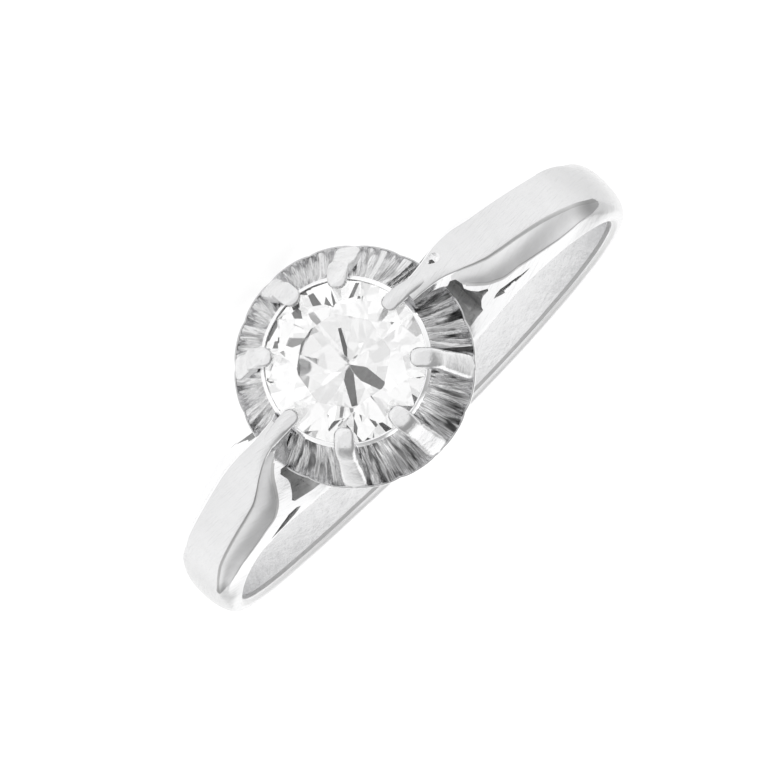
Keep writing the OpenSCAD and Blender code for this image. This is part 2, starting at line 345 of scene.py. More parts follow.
# Band and shoulders.
# Columns: angle from the head axis, crest height over the bore, half width of
# the leaf, foot height of the scoop, half width at the foot, dome of the leaf,
# hollow of the scoop, half width at the bore, and share of a plain D section.
SECTIONS = [
    [12.0, 4.98, 0.26, 4.30, 0.30, 0.05, 0.01, 1.95, 0],
    [14.5, 4.74, 0.26, 4.14, 0.31, 0.05, 0.01, 1.93, 0],
    [17.0, 4.52, 0.30, 3.85, 0.37, 0.05, 0.02, 1.91, 0],
    [21.0, 3.98, 0.47, 3.15, 0.60, 0.05, 0.06, 1.85, 0],
    [24.0, 3.52, 0.60, 2.50, 0.86, 0.05, 0.10, 1.79, 0],
    [27.0, 3.14, 0.69, 1.98, 1.12, 0.05, 0.10, 1.72, 0],
    [30.0, 2.86, 0.71, 1.66, 1.28, 0.06, 0.11, 1.66, 0],
    [36.0, 2.40, 0.71, 1.32, 1.33, 0.06, 0.10, 1.53, 0],
    [46.0, 1.78, 0.72, 1.02, 1.32, 0.06, 0.09, 1.41, 0],
    [55.0, 1.33, 0.76, 0.82, 1.24, 0.07, 0.07, 1.34, 0],
    [62.0, 1.09, 0.80, 0.72, 1.14, 0.09, 0.05, 1.31, 0.05],
    [68.0, 0.97, 0.86, 0.66, 1.06, 0.12, 0.02, 1.29, 0.35],
    [74.0, 0.89, 0.86, 0.60, 1.04, 0.12, -0.02, 1.28, 0.85],
    [80.0, 0.84, 0.84, 0.54, 1.04, 0.12, -0.04, 1.27, 1],
    [110.0, 0.84, 0.70, 0.48, 1.00, 0.12, -0.06, 1.18, 1],
    [145.0, 0.84, 0.60, 0.46, 0.92, 0.12, -0.06, 1.04, 1],
    [180.0, 0.84, 0.56, 0.46, 0.86, 0.12, -0.06, 0.96, 1],
]
# The same columns, for the rail under the head.
RAIL = [
    [0.0, RAIL_T, 1.30, 0.74, 1.60, 0.02, 0.0, 2.0, 0],
    [11.5, RAIL_T, 1.30, 0.74, 1.60, 0.02, 0.0, 1.96, 0],
]
# Far side against the angle: how much narrower it is at the foot and at the bore, and
# how much wider its half of the leaf is.
FAR_SIDE = [
    [12, 0.0, 0.80, 0.08],
    [16, 0.0, 0.80, 0.16],
    [20, 0.0, 0.72, 0.22],
    [24, 0.03, 0.62, 0.14],
    [27, 0.06, 0.46, 0.05],
    [30, 0.10, 0.30, 0.0],
    [34, 0.15, 0.15, 0.0],
    [46, 0.32, 0.16, 0.0],
    [56, 0.42, 0.20, 0.0],
    [64, 0.42, 0.24, 0.0],
    [70, 0.36, 0.26, 0.0],
    [80, 0.30, 0.28, 0.0],
    [95, 0.26, 0.26, 0.0],
    [120, 0.12, 0.12, 0.0],
    [150, 0.0, 0.0, 0.0],
    [180, 0.0, 0.0, 0.0],
]
# The left leaf is widened by this share of the right one's.
LEFT_LEAF_SHARE = 0.2
# Near side of the right shoulder: angle, and how much narrower its foot is.
RIGHT_FOOT = [
    [22, 0.0],
    [25, 0.09],
    [29, 0.19],
    [36, 0.22],
    [42, 0.19],
    [50, 0.13],
    [60, 0.12],
    [66, 0.07],
    [72, 0.0],
]
# Angle, and how far the left end of the band leans over to the near side.
LEFT_LEAN = [[50, 0.0], [62, 0.10], [72, 0.18], [85, 0.22], [100, 0.18], [130, 0.05], [150, 0.0]]
# Hollow of the side faces by the necks: angle, and the power that their slope follows.
SIDE_POWER = [[12, 2.6], [17, 2.0], [21, 1.2], [24, 1.0]]
# Radius of the edge at the bore: angle and size.
EDGE_ROUND = [[0, 0.07], [60, 0.10], [90, 0.20], [180, 0.20]]
# How much of the leaf's turn each section takes: angle and share.
TWIST_SHARE = [[14, 0.15], [26, 1]]
# Faces across the leaf, the scoop, the side and the rounded edge at the bore.
LEAF_N, SCOOP_N, SIDE_N, EDGE_N = 14, 24, 8, 8
HALF_N = LEAF_N + SCOOP_N + SIDE_N
# Places across the bore, from its edge to its middle.
BORE_SHARES = np.array([[0.10], [0.4], [0.7], [1.0]])
# Share of the leaf, of both ends of the scoop and of the side that their rounded edges take
# up, and the faces round the leaf's edge and round the foot.
LEAF_FILLET, SCOOP_FILLETS, SIDE_FILLET = 0.12, (0.12, 0.06), 0.10
LEAF_BEND_N, FOOT_BEND_N = 7, 5
# Powers of the leaf's dome and of the plain D section, and height of its flat side.
DOME_POWER, DEE_POWER, DEE_SIDE = 2.2, 0.9, 0.10


def bezier(p, q, r, n):
    """n points after p on a quadratic curve from p to r."""
    u = np.linspace(0, 1, n + 1)[1:, None]
    return (1 - u) ** 2 * p + 2 * u * (1 - u) * q + u**2 * r


def half_profile(v, side, edge_round, power):
    """Half of a section, from the crest over the leaf, scoop and side to the bore's middle.

    v holds a row of SECTIONS without its angle, and side is 1 or -1.
    """
    crest, leaf, foot, foot_half, dome, hollow, inner, dee = v
    u = np.linspace(0, 1 - LEAF_FILLET, LEAF_N + 1)
    top = np.stack([crest - dome * u**DOME_POWER, leaf * u], -1)
    edge, low = np.array([crest - dome, leaf]), np.array([foot, foot_half])
    inside = np.array([edge_round, inner])
    bend = (edge + low) / 2 - 1.5 * hollow

    def on_scoop(t):
        return (1 - t) ** 2 * edge + 2 * t * (1 - t) * bend + t**2 * low

    low_t, high_t = SCOOP_FILLETS[0], 1 - SCOOP_FILLETS[1]
    t = np.linspace(low_t, high_t, SCOOP_N - LEAF_BEND_N - FOOT_BEND_N + 1)[1:, None]
    start, end = on_scoop(low_t), on_scoop(high_t)
    t2 = np.linspace(SIDE_FILLET, 1, SIDE_N + 1)
    flank = low + (inside - low) * np.stack([t2, t2**power], -1)
    w = np.radians(np.linspace(0, 90, EDGE_N + 1)[1:])
    edge_arc = np.stack([edge_round * (1 - np.sin(w)), inner - edge_round * (1 - np.cos(w))], -1)
    leaf_bend = bezier(top[-1], edge, start, LEAF_BEND_N)
    foot_bend = bezier(end, low, flank[0], FOOT_BEND_N)
    bore = edge_arc[-1] * (1 - BORE_SHARES)
    shape = np.concatenate([top, leaf_bend, on_scoop(t), foot_bend, flank[1:], edge_arc, bore])
    if dee > 0:
        n = len(shape) - EDGE_N - len(BORE_SHARES) - 1
        w = np.radians(np.linspace(0, 90, n + 1))
        base = edge_round + DEE_SIDE
        rise = base + (crest - base) * np.cos(w) ** DEE_POWER
        arc = np.stack([rise, inner * np.sin(w) ** DEE_POWER], -1)
        arc[-3:] = arc[-4] + (inside - arc[-4]) * (np.array([[1.0], [2.0], [3.0]]) / 3)
        shape[: n + 1] = (1 - dee) * shape[: n + 1] + dee * arc
    shape[:, 1] *= side
    return shape


def section_loop(a_deg, v):
    """One whole section of the band at an angle, with the real ring's small departures."""
    edge_round = float(np.interp(abs(a_deg), *zip(*EDGE_ROUND)))
    power = float(np.interp(abs(a_deg), *zip(*SIDE_POWER)))
    foot, bore, leaf = hermite(FAR_SIDE, abs(a_deg))[0]
    leaf *= LEFT_LEAF_SHARE if a_deg > 0 else 1
    front, behind = np.array(v, float), np.array(v, float)
    behind[[1, 3, 6]] += [leaf, leaf - foot, -bore]
    if a_deg < 0:
        front[3] -= np.interp(-a_deg, *zip(*RIGHT_FOOT))
    near = half_profile(front, 1, edge_round, power)
    far = half_profile(behind, -1, edge_round, power)
    loop = np.concatenate([far, near[-2:0:-1]])
    r, y = BORE_R + loop[:, 0], loop[:, 1]
    a = math.radians(a_deg)
    lift = np.clip((loop[:, 0] - v[2]) / max(v[0] - v[2], 0.05), 0, 1) * (1 - v[7])
    y = y + TWIST * r * math.sin(a) * lift * float(np.interp(abs(a_deg), *zip(*TWIST_SHARE)))
    y = y + np.interp(a_deg, *zip(*LEFT_LEAN), left=0)
    x, z = r * math.sin(a), r * math.cos(a)
    low = np.clip((OFFSET_HEIGHTS[0] - z) / (OFFSET_HEIGHTS[0] - OFFSET_HEIGHTS[1]), 0, 1)
    return np.stack([x - OFFSET * low**2 * (3 - 2 * low), y, z], -1)


# Pierced slit and triangle of the right (-1) and left (1) shoulder, corner by corner: angle
# from the head axis, and height over the bore.
WINDOWS = {
    -1: [
        [[40.3, 0.75], [37.0, 0.81], [32.9, 1.05], [30.2, 1.18], [28.9, 1.13], [28.1, 1.04], [31.7, 0.79],
         [35.4, 0.72], [38.9, 0.69]],
        [[24.9, 1.04], [23.2, 1.02], [20.4, 0.84], [15.6, 0.56], [9.5, 0.93], [9.5, 4.20], [12.0, 4.14],
         [14.9, 3.65], [16.9, 3.41], [18.2, 3.50], [19.1, 3.70], [20.2, 3.50], [21.2, 3.06], [21.5, 2.72],
         [22.8, 2.35], [24.5, 2.00], [26.7, 1.74], [26.8, 1.62], [25.3, 1.62], [24.8, 1.51], [24.6, 1.24]],
    ],
    1: [
        [[28.7, 0.60], [29.0, 0.77], [31.1, 0.85], [34.7, 0.64], [42.3, 0.27], [37.6, 0.22], [31.7, 0.46]],
        [[26.9, 1.12], [25.3, 0.92], [23.6, 0.77], [20.3, 0.62], [15.6, 0.48], [9.5, 0.93], [9.5, 4.20],
         [12.0, 4.14], [15.0, 3.46], [16.9, 2.79], [18.3, 2.47], [19.2, 2.55], [20.0, 2.76], [20.9, 2.66],
         [21.8, 2.17], [22.6, 1.95], [25.0, 1.53], [26.7, 1.30]],
    ],
}
WINDOW_DEPTH = 3.0


def window(outline, side):
    """Cutter of one window, straight through along the finger axis."""
    a = np.radians([c[0] for c in outline])
    r = BORE_R + np.array([c[1] for c in outline])
    x, z = side * r * np.sin(a), r * np.cos(a)
    if np.sum(x * np.roll(z, -1) - z * np.roll(x, -1)) > 0:
        x, z = x[::-1], z[::-1]
    n = len(x)
    pts = np.concatenate([np.stack([x, np.full(n, y), z], -1) for y in (-WINDOW_DEPTH, WINDOW_DEPTH)])
    order = list(range(n))
    walls = [(i, (i + 1) % n, n + (i + 1) % n, n + i) for i in order]
    faces = [tuple(reversed(order)), tuple(n + i for i in order)] + walls
    return mesh_piece("cutter", pts, faces, [shaded_wall_metal], smooth=False)


# Small hole at the far edge of the right neck, which opens into the window under it: its
# middle in the ring's frame, and its half sizes.
HOLE_MIDDLE, HOLE_HALF = np.array([-4.10, -0.38, 12.08]), np.array([0.33, 0.22, 0.79])
HOLE_STEPS = 10


def neck_hole():
    """Cutter of the small hole, egg-shaped and tapering downwards to half its width."""
    a = np.arange(HOLE_STEPS) * 2 * math.pi / HOLE_STEPS
    ring = np.stack([np.cos(a), np.sin(a) * (1 - 0.35 * np.cos(a)), 0 * a], -1)
    pts = np.concatenate([ring * [0.5, 0.5, 0] + [0, 0, -1], ring + [0, 0, 1]]) * HOLE_HALF + HOLE_MIDDLE
    faces = [tuple(range(HOLE_STEPS))[::-1], tuple(range(HOLE_STEPS, 2 * HOLE_STEPS))]
    for i in range(HOLE_STEPS):
        after = (i + 1) % HOLE_STEPS
        faces.append((i, after, HOLE_STEPS + after, HOLE_STEPS + i))
    return mesh_piece("cutter", pts, faces, [shaded_wall_metal], smooth=False)


def cut(piece, cutter):
    """Takes the cutter's volume out of a piece. The new walls get the cutter's metal."""
    mod = piece.modifiers.new("cut", "BOOLEAN")
    mod.operation = "DIFFERENCE"
    mod.solver = "EXACT"
    mod.object = cutter
    mod.material_mode = "TRANSFER"
    graph = bpy.context.evaluated_depsgraph_get()
    result = bpy.data.meshes.new_from_object(piece.evaluated_get(graph))
    piece.modifiers.clear()
    old = piece.data
    piece.data = result
    bpy.data.meshes.remove(old)
    bpy.data.objects.remove(cutter)


# The band's metals, in the order of its material slots.
SHANK_METALS = [polished, bore_metal, shaded_wall_metal, satin, crease, bright, shade_line_metal, highlight_strip_metal]
# Angles where the scoop starts and ends, on the right and on the left shoulder.
SCOOP_FROM, SCOOP_TO = (19.5, 16.0), (70.5, 67.0)
# Lengths in degrees of the scoop's round start and end, and of its tip's lean to the leaf.
START_LENGTH, END_LENGTH, LEAN_LENGTH, TIP_LEAN = 3.5, 9.5, 14, 0.22
# Angles where the far flanks and the far side of the necks, given painted light with the mirror copy, end.
FAR_FLANK_END, NECK_END = 57, 30
# Angles where the dark line of painted shade along the bore's near edge starts and where it gets narrower,
# where the pale strip of painted highlight beside it starts, and the faces of the edge that belong to the
# strip.
LINE_START, LINE_NARROWS, STRIP_START, STRIP_N = 27, 60, 84, 6
# Faces of the scoop beside the leaf and beside the foot that belong to its creases, which get painted
# shade.
LEAF_CREASE_N, FOOT_CREASE_N = 6, 4
# Window walls that lie farther than this along the finger axis to the far side get the lighter mirror copy
# as painted light; the nearer ones keep the darker copy as painted shade.
PAINTED_LIGHT_WALLS_BELOW = -0.3
SHANK_SHARP_DEG = 32


def shank_slots(j, m, swing, right):
    """Material slot of each face: j is its place across the section, of m in all."""
    leaf, worn, _, scoop, fold, mirror, shade_line_slot, highlight_strip_slot = range(len(SHANK_METALS))
    across = np.minimum(j, m - 1 - j)
    near = j >= m // 2
    bore = (j >= HALF_N + EDGE_N // 2) & (j < m - HALF_N - EDGE_N // 2)
    first, last = np.where(right, *SCOOP_FROM), np.where(right, *SCOOP_TO)
    to_start = np.clip(first + START_LENGTH - swing, 0, None) / START_LENGTH
    to_end = np.clip(swing - last + END_LENGTH, 0, None) / END_LENGTH
    width = np.minimum(np.sqrt(np.clip(1 - to_start**2, 0, 1)), np.sqrt(np.clip(1 - to_end**2, 0, 1)))
    middle = 0.5 - TIP_LEAN * np.clip((swing - last + LEAN_LENGTH) / LEAN_LENGTH, 0, 1)
    share = abs((across - LEAF_N - 0.5) / (SCOOP_N - 2) - middle) * 2
    flank = (across > LEAF_N) & (across < LEAF_N + SCOOP_N - 1)
    creased = flank & (swing > first) & (swing < last) & (share < width)
    scooped = creased & (across >= LEAF_N + LEAF_CREASE_N) & (across < LEAF_N + SCOOP_N - FOOT_CREASE_N)
    neck = ~near & (swing < NECK_END) & (across > LEAF_N) & (across < HALF_N + EDGE_N)
    line_from = HALF_N + STRIP_N + (swing > LINE_NARROWS)
    line = near & (across >= line_from) & (across <= HALF_N + EDGE_N) & (swing > LINE_START)
    strip = near & (across > HALF_N) & (across < HALF_N + STRIP_N) & (swing > STRIP_START)
    slots = np.where(bore, worn, leaf)
    # The creases get the darker copy: painted shade.
    slots = np.where(creased, fold, slots)
    slots = np.where(scooped, scoop, slots)
    # Painted light: the far flanks and the far side of the necks get the lighter mirror copy.
    slots = np.where(creased & ~near, np.where(swing < FAR_FLANK_END, mirror, leaf), slots)
    slots = np.where(neck, mirror, slots)
    slots = np.where(line, shade_line_slot, slots)
    return np.where(strip, highlight_strip_slot, slots)


def paint_light_on_far_walls(piece):
    """Gives the far walls of the windows the mirror metal, a lighter copy, as painted light."""
    names = [m.name for m in piece.data.materials]
    centres = np.empty(len(piece.data.polygons) * 3)
    piece.data.polygons.foreach_get("center", centres)
    depth = (centres.reshape(-1, 3) - CENTRE) @ FINGER_AXIS / MM
    slots = np.empty(len(depth), np.int32)
    piece.data.polygons.foreach_get("material_index", slots)
    walls = np.isin(slots, [i for i, name in enumerate(names) if name == shaded_wall_metal.name])
    slots[walls & (depth < PAINTED_LIGHT_WALLS_BELOW)] = names.index(bright.name)
    piece.data.polygons.foreach_set("material_index", slots)


def shank_piece():
    """Band, rail and both shoulders as one loft, with the windows cut through."""
    shoulder = np.linspace(12.2, 40, 90)
    scoop_end = np.linspace(40.5, 84, 80)
    back = np.linspace(86, 180, 60)
    side_angles = np.concatenate([shoulder, scoop_end, back])
    rail_angles = np.linspace(-11.5, 11.5, 17)
    values = hermite(SECTIONS, side_angles)
    rail_values = hermite(RAIL, abs(rail_angles))
    loops = [section_loop(a, v) for a, v in zip(rail_angles, rail_values)]
    loops += [section_loop(a, v) for a, v in zip(side_angles, values)]
    loops += [section_loop(-a, v) for a, v in zip(side_angles[-2::-1], values[-2::-1])]
    n, m = len(loops), len(loops[0])
    faces, j = loop_faces(n, m, True, True)
    station = np.arange(len(j)) // m
    swing = np.concatenate([rail_angles * 0, side_angles, side_angles[-2::-1]])[station]
    right = station >= len(rail_angles) + len(side_angles) - 1
    slots = shank_slots(j, m, swing, right)
    piece = mesh_piece("band_and_shoulders", np.concatenate(loops), faces, SHANK_METALS, slots)
    for side in (-1, 1):
        for outline in WINDOWS[side]:
            cut(piece, window(outline, side))
    cut(piece, neck_hole())
    paint_light_on_far_walls(piece)
    piece.data.set_sharp_from_angle(angle=math.radians(SHANK_SHARP_DEG))
    return piece


# Fluted plate and cup.
PLATE_TOP_R = STONE_R + 0.14
PLATE_STEPS = 1800
FLUTE_STATIONS = 19
LOBE_DEPTH = 0.045
# How far a flute fans out, in degrees for each degree between it and its segment's middle.
FAN = 0.36
SEGMENT_DEG = 360 / CLAWS
# Widths of the flutes in degrees, one of them by chance at each cut.
FLUTE_WIDTHS = (1.8, 2.6, 3.4, 4.4, 5.6)
FLUTE_REACH_DEG, FLUTE_MEAN_R = 7, 3.1
# Height of the uncut plate over its cone, and how far the cone sags.
LAND, SAG = 0.03, 0.10
# Lip round the stone and rim of the plate: distance past the stone or the rim, and height
# over the girdle or the rim.
SEAT_LIP = [
    [-0.10, -0.5],
    [-0.10, -0.22],
    [0.01, -0.12],
    [-0.01, 0.10],
    [0.01, 0.135],
    [0.05, 0.13],
    [0.10, 0.03],
]
RIM_EDGE = [
    [-0.05, 0.03],
    [-0.02, 0.04],
    [0, 0.02],
    [0, -0.06],
    [0, 0.03 - RIM_T],
    [-0.03, -RIM_T],
]
UNDERCUT = 0.5


def rim_at(a):
    """Radius of the lobed rim at an angle in degrees."""
    return RIM_R - LOBE_DEPTH * (1 - abs(np.sin(np.radians(CLAWS * a)))) ** 2


def flute_heights(grid_u, grid_a):
    """Height of the cut plate over its cone: sharp grooves of uneven width, depth and slant."""
    rng = random.Random(7)
    height = np.full_like(grid_a, LAND)
    cuts = []
    a = 0.0
    while a < 360:
        cuts.append((a + rng.uniform(-0.5, 0.5), rng.uniform(0.05, 0.13), rng.uniform(-1.3, 1.3),
                     rng.uniform(0.7, 1.5), rng.uniform(-0.35, 0.35)))
        a += rng.choice(FLUTE_WIDTHS) * rng.uniform(0.9, 1.1)
    for centre, depth, slant, steep, skew in cuts:
        slant += FAN * (centre % SEGMENT_DEG - SEGMENT_DEG / 2)
        off = (grid_a - centre - slant * (grid_u - 0.5) + 180) % 360 - 180
        arc = np.radians(off) * FLUTE_MEAN_R
        rise = abs(arc) * steep * np.where(arc > 0, 1 + skew, 1 - skew)
        groove = -depth * (0.55 + 0.45 * grid_u) + rise
        height = np.where(abs(off) < FLUTE_REACH_DEG, np.minimum(height, groove), height)
    return height


def plate_piece():
    """Fluted cone between the stone and the rim, with the lip round the stone."""
    angles = np.arange(PLATE_STEPS) * 360 / PLATE_STEPS
    u = np.linspace(0, 1, FLUTE_STATIONS)
    grid_u, grid_a = np.meshgrid(u, angles, indexing="xy")
    run = rim_at(grid_a) - 0.05 - PLATE_TOP_R
    drop = PLATE_H - 0.1
    slope = math.atan2(drop, RIM_R - PLATE_TOP_R)
    fade = np.clip(grid_u / 0.06, 0, 1)
    shift = flute_heights(grid_u, grid_a) * fade - SAG * np.sin(np.pi * grid_u)
    r = PLATE_TOP_R + run * grid_u + shift * math.sin(slope)
    z = GIRDLE_Z - 0.1 - drop * grid_u + shift * math.cos(slope)
    r = np.minimum(r, rim_at(grid_a) - 0.05)
    loops = []
    for k, angle in enumerate(angles):
        edge = rim_at(angle)
        inner = [(STONE_R + out, GIRDLE_Z + up) for out, up in SEAT_LIP]
        outer = [(edge + out, RIM_Z + up) for out, up in RIM_EDGE] + [(RIM_R - UNDERCUT, RIM_Z - RIM_T)]
        profile = np.array(inner + list(zip(r[k], z[k])) + outer)
        a = math.radians(angle)
        out, up = profile.T
        loops.append(np.stack([out * math.cos(a), out * math.sin(a), up], -1))
    faces, j = loop_faces(PLATE_STEPS, len(loops[0]), True, True)
    lip_n = len(SEAT_LIP)
    fluted = (j >= lip_n) & (j < lip_n + FLUTE_STATIONS - 1)
    # The lip round the stone gets the lighter mirror copy: painted light.
    slots = np.where(fluted, 0, np.where(j < lip_n, 2, 1))
    metals = [flute_metal, polished, bright]
    return mesh_piece("fluted_plate", np.concatenate(loops), faces, metals, slots, sharp_deg=16)


CUP_BASE_R = 2.05
CUP_WALL = 0.35
CUP_SINK = 0.35
CUP_STEPS = 180
OPEN_BACK_R = 1.1


def cup_piece():
    """Hollow cup from the rail up to the plate's rim, with an open back."""
    u = np.linspace(0, 1, 25)
    hoop = BORE_R + RAIL_T

    def flare(u, shift):
        w = np.radians(90 * u)
        out = CUP_BASE_R - shift + (RIM_R - 0.15 - CUP_BASE_R) * (1 - np.cos(w))
        rise = RIM_Z - RIM_T * 0.6 - hoop + CUP_SINK
        return np.stack([out, hoop - CUP_SINK + rise * np.sin(w) + shift * u * 0.5], -1)

    start, back = BORE_R + 0.05, hoop - 0.02
    inside = [[CUP_BASE_R - CUP_WALL, back], [OPEN_BACK_R, back], [OPEN_BACK_R, start]]
    profile = np.concatenate([[[CUP_BASE_R, start]], flare(u, 0), flare(u[::-1], CUP_WALL), inside])
    t = np.arange(CUP_STEPS)[:, None] * 2 * math.pi / CUP_STEPS
    r, z = profile[None, :, 0], profile[None, :, 1]
    pts = np.stack([r * np.cos(t), r * np.sin(t), z + 0 * t], -1).reshape(-1, 3)
    faces, _ = loop_faces(CUP_STEPS, len(profile), True, True)
    # The cup gets the lighter mirror copy: painted light.
    return mesh_piece("hollow_cup", pts, faces, [bright], sharp_deg=40)


# Claws.
# Each claw: angle of its foot, angle of its tip, distance of its tip from the axis.
CLAW_PLACES = [
    [-132.2, -130.7, 2.16],
    [-87.5, -96.5, 2.20],
    [-44.0, -47.6, 2.13],
    [0.3, 2.9, 2.10],
    [45.8, 46.3, 2.03],
    [90.7, 90.4, 2.10],
    [134.1, 137.0, 2.05],
    [-180.4, -174.3, 2.00],
]
NECK_CLAWS = (3, 7)
# Share of the length, distance from the axis, height over the rim, half width and half
# thickness, for claws that rise from the rim and for the two that continue the necks.
RIM_CLAW = [
    [0.00, 3.54, -0.14, 0.41, 0.20],
    [0.20, 3.38, 0.44, 0.40, 0.22],
    [0.42, 3.10, 1.24, 0.36, 0.23],
    [0.62, 2.87, 2.00, 0.33, 0.23],
    [0.74, 2.76, 2.46, 0.32, 0.23],
    [0.81, 2.62, 2.72, 0.32, 0.22],
    [0.88, 2.44, 2.84, 0.31, 0.20],
    [0.94, 2.25, 2.88, 0.30, 0.19],
    [1.00, 2.05, 2.88, 0.28, 0.17],
]
NECK_CLAW = [
    [0.00, 4.30, 0.65, 0.14, 0.34],
    [0.20, 3.80, 1.48, 0.18, 0.38],
    [0.42, 3.30, 2.06, 0.23, 0.36],
    [0.64, 2.85, 2.54, 0.26, 0.32],
    [0.82, 2.50, 2.80, 0.27, 0.26],
    [0.92, 2.25, 2.88, 0.26, 0.20],
    [1.00, 2.02, 2.88, 0.25, 0.17],
]
SHANK_STATIONS, TIP_STATIONS, CLAW_SIDES = 40, 16, 24
# The tip takes the last share of a claw. It moves to its place over the last BEND_SHARE.
TIP_SHARE, BEND_SHARE = 0.12, 0.4
# Power that makes a claw's section squarer than an ellipse, and the length of its rounded end.
SQUARE, END_ROUND = 0.62, 0.12


def claw_piece(k, foot_deg, tip_deg, tip_r):
    """Claw that rises beside the stone and folds over it, with a rounded tip."""
    table = NECK_CLAW if k in NECK_CLAWS else RIM_CLAW
    shank_u = np.linspace(0, 1 - TIP_SHARE, SHANK_STATIONS)
    tip_u = 1 - TIP_SHARE * np.cos(np.linspace(0, math.pi / 2, TIP_STATIONS + 1)[1:])
    u = np.concatenate([shank_u, tip_u])
    r, z, w, t = hermite(table, u).T
    r = r + (tip_r - table[-1][1]) * np.clip((u - 1 + BEND_SHARE) / BEND_SHARE, 0, 1)
    a = np.radians(foot_deg + (tip_deg - foot_deg) * u**1.3)
    path = np.stack([r * np.cos(a), r * np.sin(a), RIM_Z + z], -1)
    ahead = np.gradient(path, axis=0)
    ahead[-1] = ahead[-2]
    ahead /= np.linalg.norm(ahead, axis=1)[:, None]
    run = np.concatenate([[0], np.cumsum(np.linalg.norm(np.diff(path, axis=0), axis=1))])
    to_end = run[-1] - run
    w = w * np.sqrt(1 - np.clip(1 - to_end / w[-1], 0, 0.999) ** 2)
    t = t * np.sqrt(1 - np.clip(1 - to_end / END_ROUND, 0, 0.98) ** 2)
    side = np.stack([-np.sin(a), np.cos(a), np.zeros_like(a)], -1)
    side -= (side * ahead).sum(1)[:, None] * ahead
    side /= np.linalg.norm(side, axis=1)[:, None]
    out = np.cross(side, ahead)
    s = np.arange(CLAW_SIDES) * 2 * math.pi / CLAW_SIDES
    c, n = np.cos(s), np.sin(s)
    across = (w[:, None] * np.sign(c) * abs(c) ** SQUARE)[..., None]
    deep = (t[:, None] * np.sign(n) * abs(n) ** SQUARE)[..., None]
    pts = path[:, None] + side[:, None] * across + out[:, None] * deep
    stations = len(u)
    faces, _ = loop_faces(stations, CLAW_SIDES, False, True)
    ends = [path[0] - ahead[0] * 0.02, path[-1]]
    all_pts = np.concatenate([pts.reshape(-1, 3), ends])
    first, last = stations * CLAW_SIDES, stations * CLAW_SIDES + 1
    top = (stations - 1) * CLAW_SIDES
    caps = [(first, (j + 1) % CLAW_SIDES, j) for j in range(CLAW_SIDES)]
    caps += [(last, top + j, top + (j + 1) % CLAW_SIDES) for j in range(CLAW_SIDES)]
    metal = polished if k in NECK_CLAWS else claw_metal
    return mesh_piece(f"claw_{k + 1}", all_pts, faces.tolist() + caps, [metal])


# Stone.
# Turn of the stone, and slopes of its crown and pavilion, in degrees.
STONE_TURN, CROWN_DEG, PAVILION_DEG = 12.59, 31.00, 40.92
# Size of the table, length of the stars and length of the lower halves, as shares, and the
# thickness of the girdle.
TABLE_SHARE, STAR_SHARE, LOWER_SHARE, GIRDLE_T = 0.593, 0.518, 0.840, 0.12
GIRDLE_FACETS = 32
# Small errors of the cut: each facet's own angle, in degrees more than its kind's. There are
# eight mains, kites and stars, and sixteen upper and lower halves.
CUT_ERRORS = {
    "main": [0.51, 0.12, -0.11, -0.22, 1.2, -0.15, -0.38, 1.14],
    "kite": [-0.5, 1.1, 2.5, 2.5, -0.4, 2.5, -2.5, -1.1],
    "star": [-2.1, 4, 0.8, 1.2, 2.9, 3.4, 2.1, 2],
    "upper": [-1.7, 0.8, -3, 3, -1, 1.6, -2.7, 3,
              1.2, -0.7, -2.8, -3, -0.1, -1.7, 1.1, -2.7],
    "lower": [0.75, 0.93, 0.35, 0, 0.19, 0.1, 1.06, 0.06,
              -0.21, -0.84, -0.3, -0.41, 1.5, -1.5, -1.35, -0.35],
}
# Pavilion mains with a painted shade film behind them, which shows them as dark kites, and how
# far out it reaches as a share of the radius.
# Painted shade: the dark film sits behind these mains.
KITE_SHADE = {1: 0.540, 2: 0.540, 5: 0.434}
KITE_SHADE_GAP = 0.02
STONE_SHIFT = np.array([0.0, 0.05, 0.0])


def polar(r, degrees, height=0.0):
    """The point at a radius, an angle and a height."""
    a = math.radians(degrees)
    return np.array([r * math.cos(a), r * math.sin(a), height])


